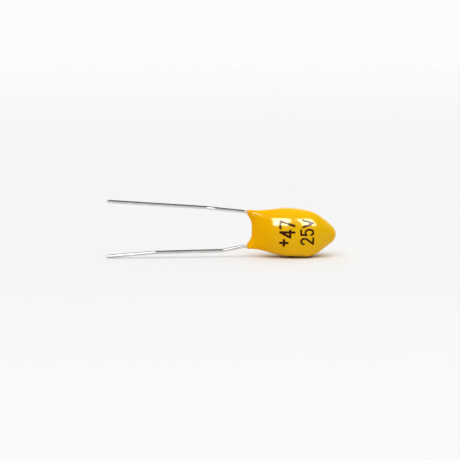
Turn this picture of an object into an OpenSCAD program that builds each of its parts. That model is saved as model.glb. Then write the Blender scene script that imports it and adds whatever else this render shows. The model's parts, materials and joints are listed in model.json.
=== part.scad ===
// Dipped tantalum capacitor, in millimetres.
// It lies on the edge of its bead and on the tip of its positive lead, on the plane Z = 0.
// Every piece is drawn in the bead's own frame: X runs from the lead end to the tip, X = 0 is
// midway between the places where the leads leave the coat, and the leads lie in the XZ plane.
// lay_down() then sets the finished piece on the ground, with the middle of its length at X = 0.

/* [Leads] */
// Distance between the lead axes where they leave the coat
lead_pitch = 5.08; // [4.6:0.02:6.4]
// Diameter of the lead wire
lead_d = 0.5; // [0.4:0.02:0.6]
// Reach of the positive lead past the lead end, along the bead's axis
positive_reach = 20.05; // [16:0.05:26]
// Reach of the negative lead past the lead end, along the bead's axis
negative_reach = 20.55; // [10:0.05:30]
// Radius of the bends made by hand, on the wire's axis
hand_bend_r = 4; // [1.5:0.1:6]
// Radius of the bend inside the coat, on the wire's axis
inner_bend_r = 0.8; // [0.5:0.05:1.2]

/* [Positive lead bends] */
// Slope away from the axis where the positive lead leaves the coat, in degrees
positive_splay = 15; // [4:0.1:20]
// Distance from the lead end to the positive lead's first bend
positive_first = 3.2; // [2.5:0.1:6]
// Slope of the positive lead after its first bend, in degrees
positive_middle = 5.2; // [1:0.1:12]
// Distance from the lead end to the positive lead's second bend
positive_second = 13; // [9:0.1:14]
// Slope of the positive lead's end stretch, in degrees
positive_end = 8.5; // [4:0.1:14]

/* [Negative lead bends] */
// Slope away from the axis where the negative lead leaves the coat, in degrees
negative_splay = 2; // [0:0.1:10]
// Distance from the lead end to the negative lead's bend
negative_first = 6.1; // [3:0.1:9]

/* [Anode] */
// Diameter of the tantalum pellet
pellet_d = 4.4; // [3.4:0.1:5.4]
// Length of the tantalum pellet
pellet_len = 5; // [4:0.1:7]
// Chamfer on the pellet's rims
pellet_chamfer = 0.2; // [0.05:0.05:0.5]
// Diameter of the riser wire
riser_d = 0.4; // [0.25:0.05:0.6]
// Depth of the riser wire in the pellet
riser_depth = 3; // [1:0.1:3.8]
// Outer diameter of the washer on the riser
washer_d = 1.6; // [1:0.1:2.4]
// Thickness of the washer
washer_t = 0.3; // [0.2:0.05:0.5]

/* [Joints inside the coat] */
// Distance from the washer to the axis of the lead that crosses the riser
weld_gap = 1; // [0.7:0.05:1.3]
// How far the crossing wires are pressed into each other at the weld
weld_set_down = 0.1; // [0.05:0.01:0.15]
// How far each wire runs past the weld
weld_tail = 0.45; // [0.3:0.05:0.6]
// Solder film between the negative lead and the pellet
solder_film = 0.09; // [0.05:0.01:0.2]
// How far the negative lead runs along the pellet
solder_lap = 4.2; // [3:0.1:5]
// Distance from the ends of that lap to the ends of the solder bead
solder_margin = 0.3; // [0.1:0.05:0.5]
// Thickness of the solder bead around the negative lead
solder_t = 0.35; // [0.2:0.05:0.5]

/* [Coat] */
// Wall of the coat outside the leads, at the belly
edge_wall = 0.76; // [0.6:0.02:1.2]
// Wall of the coat over the pellet's broad sides
face_wall = 1; // [0.5:0.05:1.4]
// Wall of the coat around the leads, where they come out
leg_wall = 0.08; // [0.05:0.01:0.3]
// Length of the legs around the leads before the coat swells
leg_len = 1.1; // [0.5:0.1:1.5]
// Distance from the lead end to the pellet
shoulder_len = 4.2; // [3.8:0.1:5.5]
// Distance from the pellet's near face to the belly, the widest place
belly_setback = 2.2; // [1:0.1:3]
// Distance from the pellet's near face to where the coat has its full thickness
face_setback = 2.8; // [1:0.1:3.4]
// How much narrower the coat's positive side is at the pellet's far end than at the belly
positive_taper = 0.02; // [0:0.02:0.5]
// How much narrower the coat's negative side is at the pellet's far end than at the belly
negative_taper = 0.26; // [0:0.02:0.5]
// How much thinner each broad side of the coat is at the pellet's far end than at its fullest
face_taper = 0.3; // [0:0.02:0.4]
// Distance from the pellet's far end to the tip of the coat
tip_len = 4.05; // [3.4:0.05:6]
// Slope of the cone that leads to the tip, in degrees
tip_slope = 40; // [30:1:50]
// Radius of the rounded tip
tip_r = 1.6; // [0.8:0.1:2.2]
// Width over which the belly blends into the cone
tip_blend = 1; // [0.1:0.05:1.2]
// Depth of the hollow between the legs
hollow_depth = 0.82; // [0.2:0.02:1.2]
// Squareness of the hollow's outline, larger for a flatter bottom
hollow_squareness = 2; // [1.5:0.1:4]
// Slant of the lead end, with the positive leg drawn in, in degrees
end_slant = 4; // [0:0.1:6]
// Squareness of the section at the legs, where 2 is an ellipse
leg_squareness = 6; // [4:0.5:8]
// Distance from the lead end to where the section is an ellipse
square_len = 0.9; // [0.6:0.1:3.6]
// Squareness of the section at the belly, where 2 is an ellipse
belly_squareness = 2.5; // [2:0.1:4]

/* [Hidden] */
$fn = 48;

// The coat is a loft of rings, closer together near both ends
coat_sides = 48;
coat_rings = 44;
// Half the thickness of the coat's edge at the very end
edge_half = 0.06;
// Bends stand this much proud of the straight wire, so that the two overlap cleanly
bend_proud = 0.01;
// Overlap of a straight stretch with the bend that follows it
bend_lap = 0.02;
// Turns smaller than this, in degrees, are straight
straight_turn = 0.05;
// Points along the solder bead's outline
solder_points = 12;

lead_r = lead_d / 2;
exit_z = lead_pitch / 2;
pellet_r = pellet_d / 2;
pellet_end_x = shoulder_len + pellet_len;
belly_x = shoulder_len + belly_setback;
full_thick_x = shoulder_len + face_setback;
body_len = pellet_end_x + tip_len;

// Axis of the negative lead where it lies on the pellet
seat_z = pellet_r + solder_film + lead_r;
// The coat's half sizes at the legs and at the belly
leg_half = lead_r + leg_wall;
leg_half_width = exit_z + leg_half;
belly_half_width = max(exit_z, seat_z) + lead_r + edge_wall;
belly_half_thick = pellet_r + face_wall;

// Centre of the rounded tip, and where it meets the cone
tip_centre_x = body_len - tip_r;
tip_join_x = tip_centre_x + tip_r * sin(tip_slope);
tip_join_r = tip_r * cos(tip_slope);

// The lead crosses beside the riser
weld_x = shoulder_len - washer_t - weld_gap;
weld_y = lead_r + riser_d / 2 - weld_set_down;
riser_start_x = weld_x - lead_r - weld_tail;

// Helper functions
function ease(t) = let (c = max(0, min(1, t))) c * c * (3 - 2 * c);
function round_up(t) = let (c = max(0, min(1, t))) c * (2 - c);
function mix(a, b, t) = a + (b - a) * t;
function soft_min(a, b, width) =
  let (h = max(width - abs(a - b), 0) / width)
  min(a, b) - h * h * width / 4;
function unit(v) = v / norm(v);
function turn(a, b) = atan2(norm(cross(a, b)), a * b);

// Outline of the coat

// Rounded cone of the tip: its radius at x
function tip_radius(x) =
  x > tip_join_x
    ? sqrt(max(0, tip_r * tip_r - (x - tip_centre_x) * (x - tip_centre_x)))
    : tip_join_r + (tip_join_x - x) * tan(tip_slope);

// Narrowing past the start, which reaches the amount at the pellet's far end
function taper(x, start, amount) = amount * pow(max(0, x - start) / (pellet_end_x - start), 2);

// Quarter round at the lead end, from 0 at x = 0 to 1
function nose(x) = let (t = min(1, x / leg_half)) sqrt(1 - (1 - t) * (1 - t));

// Half the coat's width in the plane of the leads, on the side with this taper
function half_width(x, side_taper) =
  let (
    leg = mix(exit_z, leg_half_width, nose(x)),
    swell = ease((x - leg_len) / (belly_x - leg_len)),
    side = mix(leg, belly_half_width, swell) - taper(x, belly_x, side_taper)
  )
  soft_min(side, tip_radius(x), tip_blend);

// Half the coat's thickness across that plane
function half_thick(x) =
  let (
    leg = mix(edge_half, leg_half, nose(x)),
    swell = round_up((x - leg_half) / (full_thick_x - leg_half)),
    side = mix(leg, belly_half_thick, swell) - taper(x, full_thick_x, face_taper)
  )
  soft_min(side, tip_radius(x), tip_blend);

// Exponent of the section: square at the legs, blunt at the belly, an ellipse between and at the tip
function squareness(x) =
  x < square_len
    ? mix(leg_squareness, 2, ease((x - leg_half) / (square_len - leg_half)))
    : x < belly_x
      ? mix(2, belly_squareness, ease((x - square_len) / (belly_x - square_len)))
      : mix(belly_squareness, 2, ease((x - pellet_end_x) / (tip_join_x - pellet_end_x)));

// How much of the lead end's own form a ring has: 1 at the legs, 0 from the pellet on
function lead_end(x) = 1 - ease(x / shoulder_len);

function ring_x(k) = body_len * (1 - cos(180 * k / (coat_rings + 1))) / 2;
function side_angle(j) = (j + 0.5) * 360 / coat_sides;

function coat_point(x, angle) =
  let (
    n = squareness(x),
    up = abs(sin(angle)),
    across = pow(1 - pow(up, n), 1 / n),
    side_taper = sin(angle) < 0 ? positive_taper : negative_taper,
    z = half_width(x, side_taper) * sin(angle),
    hollow = hollow_depth * (1 - ease(pow(up, hollow_squareness)))
  )
  [
    x + lead_end(x) * (hollow - z * tan(end_slant)),
    half_thick(x) * across * sign(cos(angle)),
    z
  ];

// Paths of the leads, from the outer tip to the inner end, as [x, y, z, bend radius]

positive_first_z = -exit_z - positive_first * tan(positive_splay);
positive_second_z = positive_first_z - (positive_second - positive_first) * tan(positive_middle);
positive_tip_z = positive_second_z - (positive_reach - positive_second) * tan(positive_end);
weld_tail_share = 1 + (riser_d / 2 + weld_tail) / exit_z;
positive_path = [
  [-positive_reach, 0, positive_tip_z, 0],
  [-positive_second, 0, positive_second_z, hand_bend_r],
  [-positive_first, 0, positive_first_z, hand_bend_r],
  [0, 0, -exit_z, inner_bend_r],
  [weld_x, 0, -exit_z, inner_bend_r],
  [weld_x, weld_y * weld_tail_share, exit_z * (weld_tail_share - 1), 0]
];

negative_tip_z = exit_z + negative_first * tan(negative_splay);
negative_path = [
  [-negative_reach, 0, negative_tip_z, 0],
  [-negative_first, 0, negative_tip_z, hand_bend_r],
  [0, 0, exit_z, inner_bend_r],
  [leg_len, 0, exit_z, inner_bend_r],
  [shoulder_len - leg_len, 0, seat_z, inner_bend_r],
  [shoulder_len + solder_lap, 0, seat_z, 0]
];

// Lowest and highest corner of the positive lead's cut end, in the XZ plane
positive_tip = [-positive_reach, positive_tip_z];
positive_foot = positive_tip + lead_r * [sin(positive_end), -cos(positive_end)];
positive_heel = positive_tip - lead_r * [sin(positive_end), -cos(positive_end)];
negative_foot = [-negative_reach, negative_tip_z - lead_r];

// Slope of the ground in the bead's frame: it touches the lead's foot and the belly
ring_foot = cos(180 / coat_sides);
lie_angle = min([
  for (k = [1:coat_rings])
    let (belly_foot = -half_width(ring_x(k), positive_taper) * ring_foot)
      atan2(belly_foot - positive_foot.y, ring_x(k) - positive_foot.x)
]);

function laid_x(p) = p.x * cos(lie_angle) + p.y * sin(lie_angle);
function laid_z(p) = p.y * cos(lie_angle) - p.x * sin(lie_angle);
ground_z = laid_z(positive_foot);
lead_end_x = min(laid_x(positive_foot), laid_x(positive_heel), laid_x(negative_foot));
tip_end_x = tip_centre_x * cos(lie_angle) + tip_r;
middle_x = (lead_end_x + tip_end_x) / 2;

module lay_down() {
  translate([-middle_x, 0, -ground_z])
    rotate([0, lie_angle, 0])
      children();
}

// Round wire along a path, with a true arc at every bend

function place(p) = [p.x, p.y, p.z];

// Turn of the path at its point i, 0 at its ends
function turn_at(path, i) =
  i == 0 || i == len(path) - 1
    ? 0
    : turn(place(path[i]) - place(path[i - 1]), place(path[i + 1]) - place(path[i]));

function without_straights(path) = [
  for (i = [0:len(path) - 1])
    if (i == 0 || i == len(path) - 1 || turn_at(path, i) > straight_turn)
      path[i]
];

// Length that a bend takes from the straight stretch on either side of it
function bend_reach(path, i) =
  let (reach = path[i][3] * tan(turn_at(path, i) / 2))
  reach - min(bend_lap, reach / 2);

module rod(from, to, d) {
  along = to - from;
  translate(from)
    rotate([0, acos(along.z / norm(along)), atan2(along.y, along.x)])
      cylinder(d = d, h = norm(along));
}

module bend(before, corner, after, radius, d) {
  along = unit(corner - before);
  next = unit(after - corner);
  angle = turn(along, next);
  inward = unit(next - along * (along * next));
  centre = corner - along * radius * tan(angle / 2) + inward * radius;
  axis = cross(-inward, along);
  multmatrix([
    [-inward.x, along.x, axis.x, centre.x],
    [-inward.y, along.y, axis.y, centre.y],
    [-inward.z, along.z, axis.z, centre.z],
    [0, 0, 0, 1]
  ])
    rotate_extrude(angle = angle)
      translate([radius, 0])
        circle(d = d);
}

module wire(route, d) {
  path = without_straights(route);
  last = len(path) - 1;
  for (i = [0:last - 1]) {
    from = place(path[i]);
    to = place(path[i + 1]);
    along = unit(to - from);
    rod(from + along * bend_reach(path, i), to - along * bend_reach(path, i + 1), d);
  }
  for (i = [1:1:last - 1])
    bend(place(path[i - 1]), place(path[i]), place(path[i + 1]), path[i][3], d + 2 * bend_proud);
}

// Plain forms of the pieces, before they are fitted to each other

// The loft starts at the edge between the legs and ends in a point at the tip
module coat_form() {
  apex = (coat_rings + 1) * coat_sides;
  quarter = coat_sides / 4;
  rings = [
    for (k = [0:coat_rings], j = [0:coat_sides - 1])
      coat_point(ring_x(k), side_angle(j))
  ];
  function at(k, j) = k * coat_sides + (j + coat_sides) % coat_sides;
  function mirrored(j) = 2 * quarter - 1 - j;
  function edgeward(j) = floor(j / quarter) % 2 == 0;
  edge_faces = [
    for (j = [-quarter:quarter - 2])
      each [
        [at(0, j), at(0, j + 1), at(0, mirrored(j + 1))],
        [at(0, j), at(0, mirrored(j + 1)), at(0, mirrored(j))]
      ]
  ];
  wall_faces = [
    for (k = [0:coat_rings - 1], j = [0:coat_sides - 1])
      let (a = at(k, j), b = at(k + 1, j), c = at(k + 1, j + 1), d = at(k, j + 1))
        each edgeward(j) ? [[a, b, d], [d, b, c]] : [[a, b, c], [a, c, d]]
  ];
  tip_faces = [for (j = [0:coat_sides - 1]) [at(coat_rings, j), apex, at(coat_rings, j + 1)]];
  polyhedron(concat(rings, [[body_len, 0, 0]]), concat(edge_faces, wall_faces, tip_faces));
}

module positive_form() {
  wire(positive_path, lead_d);
}

module negative_form() {
  wire(negative_path, lead_d);
}

module pellet_form() {
  translate([shoulder_len, 0, 0])
    rotate([0, 90, 0])
      rotate_extrude()
        polygon([
          [0, 0],
          [pellet_r - pellet_chamfer, 0],
          [pellet_r, pellet_chamfer],
          [pellet_r, pellet_len - pellet_chamfer],
          [pellet_r - pellet_chamfer, pellet_len],
          [0, pellet_len]
        ]);
}

module riser_form() {
  rod([riser_start_x, 0, 0], [shoulder_len + riser_depth, 0, 0], riser_d);
}

module washer_form() {
  rod([shoulder_len - washer_t, 0, 0], [shoulder_len, 0, 0], washer_d);
}

// Spindle around the negative lead, with an elliptic outline
module solder_form() {
  solder_r = lead_r + solder_t;
  solder_half = solder_lap / 2 - solder_margin;
  translate([shoulder_len + solder_lap / 2, 0, seat_z])
    rotate([0, 90, 0])
      rotate_extrude()
        polygon([
          for (i = [0:solder_points])
            let (angle = 180 * i / solder_points)
              [solder_r * sin(angle), -solder_half * cos(angle)]
        ]);
}

// The pieces

module epoxy_coat() {
  color("#f5b800")
    lay_down()
      difference() {
        coat_form();
        positive_form();
        negative_form();
        pellet_form();
        riser_form();
        washer_form();
        solder_form();
      }
}

module positive_lead() {
  color("#c9ccce") lay_down() positive_form();
}

module negative_lead() {
  color("#c9ccce") lay_down() negative_form();
}

module anode_pellet() {
  color("#4a4d52")
    lay_down()
      difference() {
        pellet_form();
        riser_form();
      }
}

module riser_wire() {
  color("#83868c")
    lay_down()
      difference() {
        riser_form();
        positive_form();
      }
}

module riser_washer() {
  color("#eceae4")
    lay_down()
      difference() {
        washer_form();
        riser_form();
      }
}

module cathode_solder() {
  color("#a9abad")
    lay_down()
      difference() {
        solder_form();
        pellet_form();
        negative_form();
      }
}

epoxy_coat();
positive_lead();
negative_lead();
anode_pellet();
riser_wire();
riser_washer();
cathode_solder();
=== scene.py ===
"""Looks of a dipped tantalum capacitor: bead, leads, print, light, floor and camera.

The bead and the leads are worked out in the bead's own frame, in millimetres: X runs from the
lead end to the tip, X = 0 is midway between the places where the leads leave the coat, and the
leads lie in the XZ plane. to_row() then lays them on the ground, in metres.
"""
import json
import math

import bmesh
import bpy
import numpy as np
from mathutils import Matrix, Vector, noise
from mathutils.bvhtree import BVHTree


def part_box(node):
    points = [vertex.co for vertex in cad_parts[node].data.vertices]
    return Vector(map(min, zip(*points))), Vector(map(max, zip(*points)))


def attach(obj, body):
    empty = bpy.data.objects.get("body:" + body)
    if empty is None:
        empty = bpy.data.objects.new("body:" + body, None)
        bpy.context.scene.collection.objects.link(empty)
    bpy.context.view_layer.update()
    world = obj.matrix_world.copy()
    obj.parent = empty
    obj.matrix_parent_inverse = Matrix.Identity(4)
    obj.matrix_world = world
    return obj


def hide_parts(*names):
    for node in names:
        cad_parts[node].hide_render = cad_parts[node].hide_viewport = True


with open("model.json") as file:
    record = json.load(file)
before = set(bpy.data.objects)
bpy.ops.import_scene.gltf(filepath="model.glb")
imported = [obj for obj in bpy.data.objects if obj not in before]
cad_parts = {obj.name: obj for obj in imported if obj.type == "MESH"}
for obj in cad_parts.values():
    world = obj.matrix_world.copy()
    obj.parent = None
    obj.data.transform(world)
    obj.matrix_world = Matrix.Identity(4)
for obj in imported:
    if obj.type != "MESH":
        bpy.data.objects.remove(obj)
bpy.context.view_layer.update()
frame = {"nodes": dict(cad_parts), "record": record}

MM = 0.001

# Leads, as in the solids
LEAD_R = 0.25
EXIT_Z = 2.54
HAND_BEND_R = 4.0
INNER_BEND_R = 0.8
POSITIVE_REACH = 20.05
POSITIVE_SPLAY = math.radians(15)
POSITIVE_FIRST = 3.2
POSITIVE_MIDDLE = math.radians(5.2)
POSITIVE_SECOND = 13.0
POSITIVE_END = math.radians(8.5)
NEGATIVE_REACH = 20.55
NEGATIVE_SPLAY = math.radians(2)
NEGATIVE_FIRST = 6.1

# Inner pieces, as in the solids
PELLET_R = 2.2
PELLET_LEN = 5.0
RISER_R = 0.2
WASHER_T = 0.3
WELD_GAP = 1.0
WELD_SET_DOWN = 0.1
WELD_TAIL = 0.45
SOLDER_FILM = 0.09
SOLDER_LAP = 4.2

# Coat, as in the solids
EDGE_WALL = 0.76
FACE_WALL = 1.0
LEG_WALL = 0.08
LEG_LEN = 1.1
SHOULDER_LEN = 4.2
BELLY_SETBACK = 2.2
FACE_SETBACK = 2.8
POSITIVE_TAPER = 0.02
NEGATIVE_TAPER = 0.26
FACE_TAPER = 0.3
TIP_LEN = 4.05
TIP_SLOPE = math.radians(40)
TIP_R = 1.6
TIP_BLEND = 1.0
HOLLOW_DEPTH = 0.82
HOLLOW_SQUARENESS = 2.0
END_SLANT = math.radians(4)
LEG_SQUARENESS = 6.0
SQUARE_LEN = 0.9
BELLY_SQUARENESS = 2.5

# Values that follow from these
PELLET_END_X = SHOULDER_LEN + PELLET_LEN
BELLY_X = SHOULDER_LEN + BELLY_SETBACK
FULL_THICK_X = SHOULDER_LEN + FACE_SETBACK
BODY_LEN = PELLET_END_X + TIP_LEN
SEAT_Z = PELLET_R + SOLDER_FILM + LEAD_R
LEG_HALF = LEAD_R + LEG_WALL
LEG_HALF_WIDTH = EXIT_Z + LEG_HALF
BELLY_HALF_WIDTH = max(EXIT_Z, SEAT_Z) + LEAD_R + EDGE_WALL
BELLY_HALF_THICK = PELLET_R + FACE_WALL
TIP_CENTRE_X = BODY_LEN - TIP_R
TIP_JOIN_X = TIP_CENTRE_X + TIP_R * math.sin(TIP_SLOPE)
TIP_JOIN_R = TIP_R * math.cos(TIP_SLOPE)
WELD_X = SHOULDER_LEN - WASHER_T - WELD_GAP
WELD_Y = LEAD_R + RISER_R - WELD_SET_DOWN

# Fineness of the meshes: counts, lengths in millimetres, and turns in radians
BEAD_RINGS = 200
BEAD_FACE_STEPS = 34
BEAD_EDGE_STEPS = 22
WIRE_STEP = 0.1
WIRE_SIDES = 28
BEND_POINTS = 24
STRAIGHT_TURN = 0.001
INK_CELL = 0.03
INK_EDGE_PASSES = 2
INK_LEAST_SLOPE = 0.2
ARC_POINTS = 16

# Points of a mesh that are closer than this, in metres, are one point
SAME_SPOT = 1e-8

# Ripple that dipping leaves on the bead
DIP_RIPPLE = 0.018
DIP_RIPPLE_LEN = 3.2
DIP_SEED = 3.7

# Sideways waves of the leads, and the jog of the negative lead: how far, from where, and over what
# length there and back
WIRE_SWAY = 0.02
WIRE_SWAY_LEN = 4.5
JOG = 0.2
JOG_START = 4.4
JOG_LEN = 1.9
JOG_RETURN = 14.0
POSITIVE_SEED = 1.3
NEGATIVE_SEED = 5.9

# Ripple of the tin, and the pinched cut ends: their length, the share of the height that is left, and
# the share by which they are wider
TIN_RIPPLE = 0.0015
TIN_RIPPLE_LEN = 2.3
CUT_LEN = 0.3
CUT_PINCH = 0.45
CUT_SPREAD = CUT_PINCH / 4

# Thin sleeves of epoxy on the leads; their outer ends are sunk into the wire
COLLAR_OUT = 0.36
COLLAR_IN = 0.12
COLLAR_R = 0.275
COLLAR_END_R = 0.98 * LEAD_R

# Print on the bead: a rating in plain numbers, read upwards
INK_RISE = 0.012
INK_DEPTH = 0.03
INK_ROUGH_EDGE = 0.02
INK_ROUGH_LEN = 0.15
INK_SEED = 9.1
GLYPH_W = 0.98
PRINT_TILT = math.radians(4)
PRINT_LINES = [
    {"text": "+47", "base_x": 6.8, "height": 2.0, "start_z": -1.17, "pitch": 1.32, "stroke": 0.34},
    {"text": "25v", "base_x": 9.6, "height": 1.8, "start_z": -0.74, "pitch": 1.27, "stroke": 0.29},
]

# Noise: its detail, and the values between which most of it lies
NOISE_DETAIL = 3.0
NOISE_LOW = 0.25
NOISE_HIGH = 0.75

# Colours of the coat, and where it is warmest and where it is plain, on the row's X axis in metres. The
# warm end is painted shade: darker and more orange where the shoulder at the lead end turns from the
# light
EPOXY_WARM_PAINTED_SHADE = (0.97, 0.44, 0.0005)
EPOXY_PLAIN = (0.94, 0.525, 0.001)
LEAD_END_X = 0.003
MIDDLE_X = 0.0105

# Colour of the coat's shine, where its dull shoulder ends, and from where it has its full gloss
EPOXY_SHINE = (1, 0.9, 0.55, 1)
DULL_X = 0.0065
GLOSSY_X = 0.0076

# Camera: angles in radians, lens and sensor in millimetres, the rest in metres
VIEW_AZIMUTH = math.radians(-3)
VIEW_ELEVATION = math.radians(8)
VIEW_DISTANCE = 0.1871
VIEW_TARGET = Vector((0.001235, 0, 0.00402))
LENS = 100
SENSOR = 36
CLIP_START = 0.01

# Floor: half its side, and its grey at places on the Y axis, in metres. The grey paints in the light's
# falloff: darkest round the object, lighter close in front and far behind
FLOOR_HALF = 3.0
FLOOR_PAINTED_LIGHT_TONES = [
    (-0.09, 0.802), (0.0, 0.764), (0.25, 0.764), (0.42, 0.779), (0.8, 0.794), (3.0, 0.812),
]

# Lamps: angles in degrees as seen from the object, sizes and the slide along X in metres; a box shows
# on the pieces that it names
GLOSSED = ("bead", "rating_print")
WIRES = ("positive_lead_wire", "negative_lead_wire")
SOFTBOX_DISTANCE = 0.4
SOFTBOXES = [
    {"name": "softbox_left", "azimuth": -27.5, "elevation": 35, "slide": 0,
     "width": 0.28, "height": 0.24, "radiance": 120, "on": GLOSSED},
    {"name": "softbox_right", "azimuth": 43.5, "elevation": 35, "slide": 0,
     "width": 0.235, "height": 0.24, "radiance": 120, "on": GLOSSED},
    {"name": "wire_card", "azimuth": 0, "elevation": 32, "slide": 0.03,
     "width": 0.8, "height": 0.6, "radiance": 0.34, "on": WIRES},
    {"name": "wire_box", "azimuth": 0, "elevation": 45, "slide": -0.188,
     "width": 0.31, "height": 0.62, "radiance": 2, "on": WIRES},
]
SUNS = [
    {"name": "key", "strength": 2.05, "azimuth": 0, "elevation": 97, "spread": 100},
    {"name": "fill", "strength": 1.42, "azimuth": -14, "elevation": 60, "spread": 60},
]

# Room: how bright it is, the Y of the directions where the wall behind starts and is full, and the
# wall's top with half the width of its soft edge, in degrees
ROOM_BRIGHT = 0.98
ROOM_DARK = 0.08
BACK_LOW = -0.1
BACK_HIGH = 0.35
BACK_TOP = 26
BACK_EDGE = 6


def clamp(t):
    return np.clip(t, 0, 1)


def ease(t):
    c = clamp(t)
    return c * c * (3 - 2 * c)


def round_up(t):
    c = clamp(t)
    return c * (2 - c)


def mix(a, b, t):
    return a + (b - a) * t


def soft_min(a, b, width):
    h = np.maximum(width - np.abs(a - b), 0) / width
    return np.minimum(a, b) - h * h * width / 4


def unit(v):
    return v / np.linalg.norm(v, axis=-1, keepdims=True)


def toward(azimuth, elevation):
    """Direction from the object to a place seen at these angles, in radians; azimuth 0 is -Y."""
    flat = math.cos(elevation)
    return Vector((flat * math.sin(azimuth), -flat * math.cos(azimuth), math.sin(elevation)))


# The bead's place in the row frame

def lie_angle():
    """Slope of the bead's axis on the ground, from the axis of the negative lead's end."""
    mounts = {m["name"]: m for m in frame["record"]["mounts"]}
    axis = mounts["negative_lead"]["axis"]
    return math.atan2(axis[2], -axis[0])


def laid(points):
    """Points turned by the lie angle, still in millimetres."""
    p = np.asarray(points, float).reshape(-1, 3)
    c, s = math.cos(lie_angle()), math.sin(lie_angle())
    return np.stack([p[:, 0] * c + p[:, 2] * s, p[:, 1], p[:, 2] * c - p[:, 0] * s], axis=1)


def to_row(points):
    """Points of the bead's frame in the row frame, in metres. The pellet's middle fixes the place."""
    low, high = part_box("anode_pellet")
    pellet_middle = np.array((low + high) / 2)
    shift = pellet_middle - laid([(SHOULDER_LEN + PELLET_LEN / 2, 0, 0)])[0] * MM
    return laid(points) * MM + shift


# Outline of the coat

def tip_radius(x):
    """Radius of the rounded cone of the tip."""
    ball = np.sqrt(np.maximum(0, TIP_R**2 - (x - TIP_CENTRE_X) ** 2))
    cone = TIP_JOIN_R + (TIP_JOIN_X - x) * math.tan(TIP_SLOPE)
    return np.where(x > TIP_JOIN_X, ball, cone)


def taper(x, start, amount):
    """Narrowing past the start, which reaches the amount at the pellet's far end."""
    return amount * (np.maximum(0, x - start) / (PELLET_END_X - start)) ** 2


def leg_nose(x):
    """Quarter round at the lead end, from 0 at x = 0 to 1."""
    t = np.minimum(1, x / LEG_HALF)
    return np.sqrt(1 - (1 - t) ** 2)


def half_width(x, side_taper):
    """Half the coat's width in the plane of the leads, on the side with this taper."""
    leg = mix(EXIT_Z, LEG_HALF_WIDTH, leg_nose(x))
    swell = ease((x - LEG_LEN) / (BELLY_X - LEG_LEN))
    side = mix(leg, BELLY_HALF_WIDTH, swell) - taper(x, BELLY_X, side_taper)
    return np.maximum(0, soft_min(side, tip_radius(x), TIP_BLEND))


def half_thick(x):
    """Half the coat's thickness across that plane."""
    leg = LEG_HALF * leg_nose(x)
    swell = round_up((x - LEG_HALF) / (FULL_THICK_X - LEG_HALF))
    side = mix(leg, BELLY_HALF_THICK, swell) - taper(x, FULL_THICK_X, FACE_TAPER)
    return np.maximum(0, soft_min(side, tip_radius(x), TIP_BLEND))


def squareness(x):
    """Exponent of the section: square at the legs, blunt at the belly, an ellipse between and after."""
    legs = mix(LEG_SQUARENESS, 2, ease((x - LEG_HALF) / (SQUARE_LEN - LEG_HALF)))
    shoulder = mix(2, BELLY_SQUARENESS, ease((x - SQUARE_LEN) / (BELLY_X - SQUARE_LEN)))
    tip = mix(BELLY_SQUARENESS, 2, ease((x - PELLET_END_X) / (TIP_JOIN_X - PELLET_END_X)))
    return np.where(x < SQUARE_LEN, legs, np.where(x < BELLY_X, shoulder, tip))


def lead_end(x):
    """How much of the lead end's own form a ring has: 1 at the legs, 0 from the pellet on."""
    return 1 - ease(x / SHOULDER_LEN)


def section(n):
    """One ring of the coat for squareness n, as shares (across, up) of its half sizes."""
    corner = 0.5 ** (1 / n)
    face_up = np.linspace(0, corner, BEAD_FACE_STEPS + 1)[:-1]
    edge_across = np.linspace(corner, 0, BEAD_EDGE_STEPS + 1)[:-1]
    across = np.concatenate([(1 - face_up**n) ** (1 / n), edge_across])
    up = np.concatenate([face_up, (1 - edge_across**n) ** (1 / n)])
    quarter = np.stack([across, up], axis=1)
    mirrored = quarter[1:][::-1] * (-1, 1)
    half = np.concatenate([quarter, [(0, 1)], mirrored])
    return np.concatenate([half, -half])


def coat_ring(x):
    """Points of the coat's ring at x, drawn in by the hollow and the slant of the lead end."""
    across, up = section(float(squareness(x))).T
    high = up * np.where(up > 0, half_width(x, NEGATIVE_TAPER), half_width(x, POSITIVE_TAPER))
    hollow = HOLLOW_DEPTH * (1 - ease(np.abs(up) ** HOLLOW_SQUARENESS))
    drawn_in = hollow - high * math.tan(END_SLANT)
    return np.stack([x + lead_end(x) * drawn_in, half_thick(x) * across, high], axis=1)


# Meshes

def join_same_spots(mesh):
    """Makes one point of those that lie on one spot, so that every face has an area."""
    shape = bmesh.new()
    shape.from_mesh(mesh)
    bmesh.ops.remove_doubles(shape, verts=shape.verts, dist=SAME_SPOT)
    shape.to_mesh(mesh)
    shape.free()


def add_piece(name, points, faces, material, slot):
    """A smooth mesh from points of the bead's frame, as a piece that rides the one body."""
    mesh = bpy.data.meshes.new(name)
    mesh.from_pydata(to_row(points).tolist(), [], faces)
    join_same_spots(mesh)
    mesh.shade_smooth()
    mesh.materials.append(material)
    piece = bpy.data.objects.new(name, mesh)
    bpy.context.scene.collection.objects.link(piece)
    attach(piece, "root")
    return piece


def ring_faces(rings, sides):
    """Quads between rings of points that follow each other."""
    faces = []
    for k in range(rings - 1):
        for j in range(sides):
            near, far = k * sides, (k + 1) * sides
            onward = (j + 1) % sides
            faces.append((near + j, near + onward, far + onward, far + j))
    return faces


def ripple(points, amount, length, seed):
    """Slow, smooth unevenness at each point, up to about the amount."""
    offset = Vector((seed, seed, seed))
    return np.array([amount * noise.noise(Vector(p) / length + offset) for p in points])


def normals_of(points, faces):
    mesh = bpy.data.meshes.new("measured")
    mesh.from_pydata(np.asarray(points).tolist(), [], faces)
    normals = np.array([v.normal for v in mesh.vertices])
    bpy.data.meshes.remove(mesh)
    return normals


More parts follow.
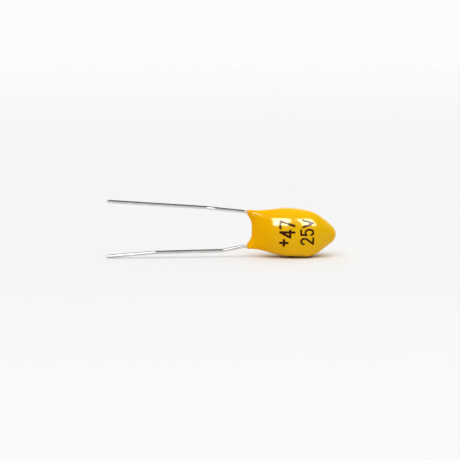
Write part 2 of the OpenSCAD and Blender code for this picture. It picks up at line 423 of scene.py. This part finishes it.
def bead_shape():
    """Points and faces of the coat: rings, closed by a line at the rim and by a point at the tip."""
    turns = np.linspace(0, math.pi, BEAD_RINGS + 2)[1:-1]
    rings = [coat_ring(x) for x in BODY_LEN * (1 - np.cos(turns)) / 2]
    sides = len(rings[0])
    quarter = sides // 4
    faces = ring_faces(BEAD_RINGS, sides)

    rim_start = BEAD_RINGS * sides
    rim = coat_ring(0.0)[np.arange(-quarter, quarter + 1)]
    for j in range(-quarter, quarter):
        a, b = rim_start + quarter + j, rim_start + quarter + j + 1
        faces.append((a, b, (j + 1) % sides, j % sides))
        faces.append((b, a, (2 * quarter - j) % sides, (2 * quarter - j - 1) % sides))

    tip = rim_start + len(rim)
    last = (BEAD_RINGS - 1) * sides
    faces += [(last + j, last + (j + 1) % sides, tip) for j in range(sides)]
    points = np.concatenate([*rings, rim, [(BODY_LEN, 0, 0)]])
    lift = ripple(points, DIP_RIPPLE, DIP_RIPPLE_LEN, DIP_SEED)
    return points + normals_of(points, faces) * lift[:, None], faces


# Leads

def positive_path():
    """The positive lead from its cut end to the weld, as points with a bend radius."""
    first_z = -EXIT_Z - POSITIVE_FIRST * math.tan(POSITIVE_SPLAY)
    second_z = first_z - (POSITIVE_SECOND - POSITIVE_FIRST) * math.tan(POSITIVE_MIDDLE)
    tip_z = second_z - (POSITIVE_REACH - POSITIVE_SECOND) * math.tan(POSITIVE_END)
    tail = 1 + (RISER_R + WELD_TAIL) / EXIT_Z
    return [
        (-POSITIVE_REACH, 0, tip_z, 0),
        (-POSITIVE_SECOND, 0, second_z, HAND_BEND_R),
        (-POSITIVE_FIRST, 0, first_z, HAND_BEND_R),
        (0, 0, -EXIT_Z, INNER_BEND_R),
        (WELD_X, 0, -EXIT_Z, INNER_BEND_R),
        (WELD_X, WELD_Y * tail, EXIT_Z * (tail - 1), 0),
    ]


def negative_path():
    """The negative lead from its cut end to the far end of its lap on the pellet."""
    tip_z = EXIT_Z + NEGATIVE_FIRST * math.tan(NEGATIVE_SPLAY)
    return [
        (-NEGATIVE_REACH, 0, tip_z, 0),
        (-NEGATIVE_FIRST, 0, tip_z, HAND_BEND_R),
        (0, 0, EXIT_Z, INNER_BEND_R),
        (SHOULDER_LEN - LEG_LEN, 0, SEAT_Z, INNER_BEND_R),
        (SHOULDER_LEN + SOLDER_LAP, 0, SEAT_Z, 0),
    ]


def bend_points(before, corner, after):
    """Points of the arc at a corner of a path, none where the path runs straight on."""
    here = np.array(corner[:3])
    along = unit(here - before[:3])
    onward = unit(np.array(after[:3]) - here)
    turn = math.acos(min(1, along @ onward))
    if turn < STRAIGHT_TURN:
        return []
    radius = corner[3]
    inward = unit(onward - along * (along @ onward))
    centre = here - along * radius * math.tan(turn / 2) + inward * radius
    turns = np.linspace(0, turn, BEND_POINTS)
    return [centre + radius * (along * math.sin(t) - inward * math.cos(t)) for t in turns]


def rounded(path):
    """Points along a path with an arc at every bend, at equal steps."""
    points = [np.array(path[0][:3])]
    for before, corner, after in zip(path, path[1:], path[2:]):
        points += bend_points(before, corner, after)
    points = np.array([*points, path[-1][:3]])
    run = np.concatenate([[0], np.cumsum(np.linalg.norm(np.diff(points, axis=0), axis=1))])
    stops = np.linspace(0, run[-1], round(run[-1] / WIRE_STEP) + 1)
    return np.stack([np.interp(stops, run, points[:, i]) for i in range(3)], axis=1)


def swayed(points, seed, jog):
    """The same wire with the sideways waves and the jog of a lead that was bent by hand."""
    out = -points[:, 0]
    line = np.stack([out, 0 * out, 0 * out], axis=1)
    moved = points.copy()
    moved[:, 1] += ease(out / WIRE_SWAY_LEN) * ripple(line, WIRE_SWAY, WIRE_SWAY_LEN, seed)
    past_jog = out - JOG_START - JOG_LEN
    moved[:, 1] += jog * ease(1 + past_jog / JOG_LEN) * (1 - ease(past_jog / JOG_RETURN))
    return moved


def sweep(points, wide, high):
    """A closed tube along points with these half sizes, across the leads' plane and in it."""
    along = unit(np.gradient(points, axis=0))
    across = unit(np.array([0, 1, 0]) - along * along[:, 1:2])
    up = np.cross(along, across)
    angles = np.arange(WIRE_SIDES) * 2 * math.pi / WIRE_SIDES
    rings = [
        p + w * np.outer(np.cos(angles), a) + h * np.outer(np.sin(angles), u)
        for p, w, h, a, u in zip(points, wide, high, across, up)
    ]
    faces = ring_faces(len(points), WIRE_SIDES)
    start, end = len(points) * WIRE_SIDES, (len(points) - 1) * WIRE_SIDES
    for j in range(WIRE_SIDES):
        onward = (j + 1) % WIRE_SIDES
        faces.append((start, onward, j))
        faces.append((end + j, end + onward, start + 1))
    return np.concatenate([*rings, points[:1], points[-1:]]), faces


def lead_shape(centre, seed):
    """A lead with its cut end pinched by the cutter, and its tin a little uneven."""
    from_cut = np.arange(len(centre)) * WIRE_STEP
    whole = ease(from_cut / CUT_LEN)
    wide = LEAD_R * mix(1 + CUT_SPREAD, 1, whole)
    high = LEAD_R * mix(CUT_PINCH, 1, whole)
    points, faces = sweep(centre, wide, high)
    lift = ripple(points, TIN_RIPPLE, TIN_RIPPLE_LEN, seed)
    return points + normals_of(points, faces) * lift[:, None], faces


def collar_shape(centre):
    """The thin sleeve that the coat draws along a lead where it comes out."""
    from_exit = centre[:, 0] + centre[:, 2] * math.tan(END_SLANT)
    points = centre[(from_exit > -COLLAR_OUT) & (from_exit < COLLAR_IN)]
    t = np.linspace(0, 1, len(points))
    radius = mix(LEAD_R, COLLAR_R, t**2)
    radius[0] = COLLAR_END_R
    return sweep(points, radius, radius)


# Print

def arc(cx, cy, rx, ry, start, end):
    """Points of an elliptic arc between two angles in degrees."""
    turns = np.radians(np.linspace(start, end, ARC_POINTS))
    return [(cx + rx * math.cos(a), cy + ry * math.sin(a)) for a in turns]


# Strokes of each sign, in shares of its width and height
GLYPHS = {
    "+": [[(0.05, 0.74), (0.95, 0.74)], [(0.5, 0.48), (0.5, 1)]],
    "4": [[(0.74, 0), (0.74, 1), (0, 0.3), (1, 0.3)]],
    "7": [[(0, 1), (1, 1), (0.35, 0)]],
    "2": [arc(0.48, 0.72, 0.42, 0.28, 170, -40) + [(0.04, 0), (0.92, 0)]],
    "5": [[(0.88, 1), (0.18, 1), (0.11, 0.56)] + arc(0.47, 0.33, 0.44, 0.33, 125, -150)],
    "v": [[(0, 0.85), (0.5, 0), (1, 0.85)]],
}


def print_strokes():
    """Every stroke of the print as its (x, z) points on the bead's face and its half width."""
    c, s = math.cos(PRINT_TILT), math.sin(PRINT_TILT)
    strokes = []
    for line in PRINT_LINES:
        for i, sign in enumerate(line["text"]):
            middle = line["start_z"] + i * line["pitch"]
            for stroke in GLYPHS[sign]:
                flat = [((gx - 0.5) * GLYPH_W + middle, gy * line["height"]) for gx, gy in stroke]
                points = [(line["base_x"] - b * c - a * s, a * c - b * s) for a, b in flat]
                strokes.append((np.array(points), line["stroke"] / 2))
    return strokes


def from_ink(strokes, spots):
    """Distance of each spot from the uneven edge of the nearest stroke, negative inside the stroke."""
    nearest = np.full(len(spots), np.inf)
    for points, half in strokes:
        for a, b in zip(points, points[1:]):
            share = clamp((spots - a) @ (b - a) / ((b - a) @ (b - a)))
            away = np.linalg.norm(spots - a - share[:, None] * (b - a), axis=1)
            nearest = np.minimum(nearest, away - half)
    flat = np.stack([spots[:, 0], 0 * spots[:, 0], spots[:, 1]], axis=1)
    return nearest + ripple(flat, INK_ROUGH_EDGE, INK_ROUGH_LEN, INK_SEED)


def corners_of(grid):
    """The four corners of every cell of a grid, in order round the cell."""
    return [grid[:-1, :-1], grid[1:, :-1], grid[1:, 1:], grid[:-1, 1:]]


def ink_grid(strokes):
    """Spots of a fine grid over the print, and its quads that hold ink."""
    ends = np.concatenate([points for points, half in strokes])
    margin = max(line["stroke"] for line in PRINT_LINES)
    low, high = ends.min(0) - margin, ends.max(0) + margin
    columns, rows = np.ceil((high - low) / INK_CELL).astype(int) + 1
    ix, iz = np.meshgrid(np.arange(columns), np.arange(rows), indexing="ij")
    spots = low + INK_CELL * np.stack([ix.ravel(), iz.ravel()], axis=1)
    inked = sum(corners_of(from_ink(strokes, spots).reshape(columns, rows))) < 0
    number = np.arange(columns * rows).reshape(columns, rows)
    return spots, np.stack(corners_of(number), axis=-1)[inked]


def drawn_to_edge(strokes, spots):
    """The same spots, moved onto the edge of the ink."""
    right, up = (INK_CELL / 2, 0), (0, INK_CELL / 2)
    for _ in range(INK_EDGE_PASSES):
        slope_x = from_ink(strokes, spots + right) - from_ink(strokes, spots - right)
        slope_z = from_ink(strokes, spots + up) - from_ink(strokes, spots - up)
        slope = np.stack([slope_x, slope_z], axis=1) / INK_CELL
        steepness = np.maximum((slope**2).sum(1), INK_LEAST_SLOPE)
        spots = spots - slope * (from_ink(strokes, spots) / steepness)[:, None]
    return spots


def ink_shape(bead_points, bead_faces):
    """A fine sheet of quads in the outline of the strokes, laid on the near face of the bead."""
    strokes = print_strokes()
    spots, quads = ink_grid(strokes)
    uses = np.bincount(quads.ravel(), minlength=len(spots))
    edge = (uses > 0) & (uses < 4)
    spots[edge] = drawn_to_edge(strokes, spots[edge])

    used = np.flatnonzero(uses)
    order = np.full(len(spots), -1)
    order[used] = np.arange(len(used))
    tree = BVHTree.FromPolygons(bead_points.tolist(), bead_faces)
    points = []
    for x, z in spots[used]:
        hit, normal, _, _ = tree.ray_cast(Vector((x, -2 * BELLY_HALF_THICK, z)), Vector((0, 1, 0)))
        points.append(hit + normal * INK_RISE)
    return np.array(points), order[quads].tolist()


# Materials; scales count features in a metre, and heights are in metres

def new_material(name):
    material = bpy.data.materials.new(name)
    material.use_nodes = True
    return material, material.node_tree.nodes["Principled BSDF"]


def add_node(owner, kind, **inputs):
    """A shader node of a material or a world, with some of its inputs set by name."""
    node = owner.node_tree.nodes.new(kind)
    for key, value in inputs.items():
        node.inputs[key.replace("_", " ")].default_value = value
    return node


def noise_at(material, scale, stretch=(1, 1, 1)):
    """Noise in the object's own coordinates."""
    links = material.node_tree.links
    place = add_node(material, "ShaderNodeTexCoord")
    stretched = add_node(material, "ShaderNodeMapping", Scale=stretch)
    texture = add_node(material, "ShaderNodeTexNoise", Scale=scale, Detail=NOISE_DETAIL)
    links.new(place.outputs["Object"], stretched.inputs["Vector"])
    links.new(stretched.outputs["Vector"], texture.inputs["Vector"])
    return texture.outputs["Fac"]


def place_on(material, axis, start, end):
    """A number that grows from 0 to 1 between two places on an axis of the object."""
    links = material.node_tree.links
    place = add_node(material, "ShaderNodeTexCoord")
    parts = add_node(material, "ShaderNodeSeparateXYZ")
    ramp = add_node(material, "ShaderNodeMapRange", From_Min=start, From_Max=end)
    links.new(place.outputs["Object"], parts.inputs["Vector"])
    links.new(parts.outputs[axis], ramp.inputs["Value"])
    return ramp.outputs["Result"]


def clouded(material, value, clouds, share):
    """The value with a share of it taken over by clouds of noise."""
    blend = add_node(material, "ShaderNodeMix", Factor=share)
    material.node_tree.links.new(value, blend.inputs["A"])
    material.node_tree.links.new(clouds, blend.inputs["B"])
    return blend.outputs["Result"]


def colour_by(material, value, dark, light, start=0.3, end=0.7):
    """A colour that goes from dark to light as the value goes from start to end."""
    ramp = add_node(material, "ShaderNodeValToRGB")
    stops = ramp.color_ramp.elements
    for stop, position, colour in ((stops[0], start, dark), (stops[1], end, light)):
        stop.position = position
        stop.color = (*colour, 1)
    material.node_tree.links.new(value, ramp.inputs["Fac"])
    return ramp.outputs["Color"]


def range_by(material, value, low, high):
    """A number that goes from low to high with the value."""
    ends = {"From_Min": NOISE_LOW, "From_Max": NOISE_HIGH, "To_Min": low, "To_Max": high}
    node = add_node(material, "ShaderNodeMapRange", **ends)
    material.node_tree.links.new(value, node.inputs["Value"])
    return node.outputs["Result"]


def bump_by(material, value, height):
    node = add_node(material, "ShaderNodeBump", Strength=1, Distance=height)
    material.node_tree.links.new(value, node.inputs["Height"])
    return node.outputs["Normal"]


def finish_with(material, shader, colour, roughness, normal):
    links = material.node_tree.links
    links.new(colour, shader.inputs["Base Color"])
    links.new(roughness, shader.inputs["Roughness"])
    links.new(normal, shader.inputs["Normal"])
    return material


def epoxy():
    """Yellow pigmented epoxy: glossy past the shoulder, faintly clouded, with a trace of orange peel,
    and painted shade that makes it darker and more orange towards the lead end.
    """
    material, shader = new_material("epoxy")
    gloss = place_on(material, "X", DULL_X, GLOSSY_X)
    gloss = clouded(material, gloss, noise_at(material, scale=600), share=0.2)
    level = range_by(material, gloss, low=0.025, high=0.15)
    material.node_tree.links.new(level, shader.inputs["Specular IOR Level"])
    shader.inputs["Specular Tint"].default_value = EPOXY_SHINE
    # Painted shade: the coat turns darker and more orange towards the lead end, where its shoulder faces
    # away from the light.
    tone = place_on(material, "X", LEAD_END_X, MIDDLE_X)
    tone = clouded(material, tone, noise_at(material, scale=350), share=0.3)
    colour = colour_by(material, tone, EPOXY_WARM_PAINTED_SHADE, EPOXY_PLAIN, start=0.2, end=0.8)
    roughness = range_by(material, noise_at(material, scale=900), low=0.1, high=0.17)
    orange_peel = bump_by(material, noise_at(material, scale=1400), height=4e-6)
    return finish_with(material, shader, colour, roughness, orange_peel)


def ink():
    """Dark brown-black ink, duller than the coat and a little uneven in its density."""
    material, shader = new_material("ink")
    shader.inputs["Specular IOR Level"].default_value = 0.03
    density = noise_at(material, scale=5000)
    colour = colour_by(material, density, dark=(0.028, 0.006, 0.0005), light=(0.07, 0.016, 0.001))
    roughness = range_by(material, noise_at(material, scale=3000), low=0.16, high=0.24)
    grain = bump_by(material, noise_at(material, scale=9000), height=4e-6)
    return finish_with(material, shader, colour, roughness, grain)


def drawn_metal(name, dark, light, smooth, rough):
    """Metal with blotches of tone and fine streaks along X, as drawing and tinning leave them."""
    material, shader = new_material(name)
    shader.inputs["Metallic"].default_value = 1
    streaks = noise_at(material, scale=6000, stretch=(0.06, 1, 1))
    colour = colour_by(material, noise_at(material, scale=700), dark, light)
    roughness = range_by(material, streaks, smooth, rough)
    return finish_with(material, shader, colour, roughness, bump_by(material, streaks, height=6e-6))


def grained(name, dark, light, scale, smooth, rough):
    """A surface of fine grains."""
    material, shader = new_material(name)
    grain = noise_at(material, scale)
    colour = colour_by(material, grain, dark, light)
    roughness = range_by(material, grain, smooth, rough)
    return finish_with(material, shader, colour, roughness, bump_by(material, grain, height=8e-6))


def tin():
    dark, light = (0.62, 0.62, 0.605), (0.74, 0.74, 0.72)
    return drawn_metal("tinned_wire", dark, light, smooth=0.05, rough=0.09)


# Pale cream: a thin film of epoxy over tin, painted paler still as the highlight where the coat leaves a
# lead.
def thin_epoxy_painted_highlight():
    dark, light = (0.8, 0.68, 0.5), (0.88, 0.78, 0.62)
    return grained("thin_epoxy_painted_highlight", dark, light, scale=4000, smooth=0.17, rough=0.33)


def silvered_tantalum():
    dark, light = (0.12, 0.125, 0.13), (0.22, 0.225, 0.235)
    return grained("silvered_tantalum", dark, light, scale=9000, smooth=0.52, rough=0.68)


def tantalum_wire():
    dark, light = (0.3, 0.31, 0.33), (0.42, 0.43, 0.45)
    return drawn_metal("tantalum_wire", dark, light, smooth=0.25, rough=0.4)


def washer_plastic():
    dark, light = (0.78, 0.77, 0.73), (0.86, 0.85, 0.82)
    return grained("washer_plastic", dark, light, scale=2500, smooth=0.42, rough=0.58)


def solder():
    dark, light = (0.5, 0.51, 0.52), (0.62, 0.63, 0.64)
    return drawn_metal("solder", dark, light, smooth=0.2, rough=0.38)


# The object

def build_leads():
    """Both leads, each with its collar of thin epoxy, whose pale colour is partly a painted highlight.
    """
    wire, film_painted_highlight = tin(), thin_epoxy_painted_highlight()
    leads = (
        ("positive_lead", positive_path(), POSITIVE_SEED, 0),
        ("negative_lead", negative_path(), NEGATIVE_SEED, JOG),
    )
    for node, path, seed, jog in leads:
        centre = swayed(rounded(path), seed, jog)
        lead = add_piece(node + "_wire", *lead_shape(centre, seed), wire, "tinned_wire")
        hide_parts(node)
        add_piece(node + "_collar", *collar_shape(centre), film_painted_highlight, "epoxy")


def build_print(bead_points, bead_faces):
    rating = add_piece("rating_print", *ink_shape(bead_points, bead_faces), ink(), "epoxy")
    shell = rating.modifiers.new("ink_depth", "SOLIDIFY")
    shell.thickness = INK_DEPTH * MM
    shell.offset = -1


def finish_inner_pieces():
    """Materials of the pieces inside the coat, whose solids are shown as they are."""
    finishes = {
        "anode_pellet": silvered_tantalum(),
        "riser_wire": tantalum_wire(),
        "riser_washer": washer_plastic(),
        "cathode_solder": solder(),
    }
    for node, finish in finishes.items():
        frame["nodes"][node].data.materials.clear()
        frame["nodes"][node].data.materials.append(finish)


def build_object():
    bead_points, bead_faces = bead_shape()
    bead = add_piece("bead", bead_points, bead_faces, epoxy(), "epoxy")
    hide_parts("epoxy_coat")
    build_leads()
    build_print(bead_points, bead_faces)
    finish_inner_pieces()


# Floor, light and camera

def floor_paper_painted_light():
    """Matt paper whose grey along Y paints in the falloff of the light."""
    material, shader = new_material("floor_paper_painted_light")
    shader.inputs["Specular IOR Level"].default_value = 0
    shader.inputs["Roughness"].default_value = 1
    near, far = FLOOR_PAINTED_LIGHT_TONES[0][0], FLOOR_PAINTED_LIGHT_TONES[-1][0]
    ramp = add_node(material, "ShaderNodeValToRGB")
    stops = ramp.color_ramp.elements
    for y, _ in FLOOR_PAINTED_LIGHT_TONES[1:-1]:
        stops.new((y - near) / (far - near))
    for stop, (_, tone) in zip(stops, FLOOR_PAINTED_LIGHT_TONES):
        stop.color = (tone, tone, tone, 1)
    links = material.node_tree.links
    links.new(place_on(material, "Y", near, far), ramp.inputs["Fac"])
    links.new(ramp.outputs["Color"], shader.inputs["Base Color"])
    return material


def build_floor():
    """A pale floor with painted light, slightly lighter far behind and close in front."""
    mesh = bpy.data.meshes.new("floor")
    h = FLOOR_HALF
    mesh.from_pydata([(-h, -h, 0), (h, -h, 0), (h, h, 0), (-h, h, 0)], [], [(0, 1, 2, 3)])
    mesh.materials.append(floor_paper_painted_light())
    floor = bpy.data.objects.new("floor", mesh)
    bpy.context.scene.collection.objects.link(floor)


def build_room():
    """The studio around the object: a white wall behind it, dark in front and above the wall."""
    world = bpy.data.worlds.new("studio")
    world.use_nodes = True
    bpy.context.scene.world = world
    nodes, links = world.node_tree.nodes, world.node_tree.links
    direction = nodes.new("ShaderNodeSeparateXYZ")
    links.new(nodes.new("ShaderNodeTexCoord").outputs["Generated"], direction.inputs["Vector"])

    def soft_step(axis, start, end, **levels):
        """A number that changes softly as the direction goes from start to end on an axis."""
        node = add_node(world, "ShaderNodeMapRange", From_Min=start, From_Max=end, **levels)
        node.interpolation_type = "SMOOTHSTEP"
        links.new(direction.outputs[axis], node.inputs["Value"])
        return node

    low_edge = math.sin(math.radians(BACK_TOP - BACK_EDGE))
    high_edge = math.sin(math.radians(BACK_TOP + BACK_EDGE))
    back = soft_step("Y", BACK_LOW, BACK_HIGH, To_Min=ROOM_DARK, To_Max=ROOM_BRIGHT)
    room = soft_step("Z", low_edge, high_edge, To_Max=ROOM_DARK)
    links.new(back.outputs["Result"], room.inputs["To Min"])
    background = nodes["Background"]
    background.inputs["Color"].default_value = (1, 1, 1, 1)
    links.new(room.outputs["Result"], background.inputs["Strength"])


def aim(thing, place, target):
    thing.location = place
    thing.rotation_euler = (Vector(target) - Vector(place)).to_track_quat("-Z", "Y").to_euler()


def seen_at(lamp):
    return toward(math.radians(lamp["azimuth"]), math.radians(lamp["elevation"]))


def build_suns():
    """A wide soft key and fill for the body colours."""
    for sun in SUNS:
        lamp = bpy.data.lights.new(sun["name"], "SUN")
        lamp.energy = sun["strength"]
        lamp.angle = math.radians(sun["spread"])
        light = bpy.data.objects.new(sun["name"], lamp)
        light.visible_glossy = False
        bpy.context.scene.collection.objects.link(light)
        aim(light, seen_at(sun), (0, 0, 0))


def build_softboxes():
    """Two softboxes for the bead's highlights, and a card and a box that the wires reflect."""
    for box in SOFTBOXES:
        shown_on = bpy.data.collections.new(box["name"] + "_on")
        for name in box["on"]:
            shown_on.objects.link(bpy.data.objects[name])
        lamp = bpy.data.lights.new(box["name"], "AREA")
        lamp.shape = "RECTANGLE"
        lamp.size, lamp.size_y = box["width"], box["height"]
        lamp.energy = box["radiance"] * math.pi * box["width"] * box["height"]
        light = bpy.data.objects.new(box["name"], lamp)
        light.visible_diffuse = False
        light.light_linking.receiver_collection = shown_on
        bpy.context.scene.collection.objects.link(light)
        aim(light, VIEW_TARGET + seen_at(box) * SOFTBOX_DISTANCE, VIEW_TARGET)
        light.location.x += box["slide"]


def build_camera():
    data = bpy.data.cameras.new("camera")
    data.lens = LENS
    data.sensor_width = SENSOR
    data.clip_start = CLIP_START
    camera = bpy.data.objects.new("camera", data)
    bpy.context.scene.collection.objects.link(camera)
    aim(camera, VIEW_TARGET + toward(VIEW_AZIMUTH, VIEW_ELEVATION) * VIEW_DISTANCE, VIEW_TARGET)
    bpy.context.scene.camera = camera


bpy.context.scene.view_settings.view_transform = "Standard"
build_object()
build_floor()
build_room()
build_suns()
build_softboxes()
build_camera()
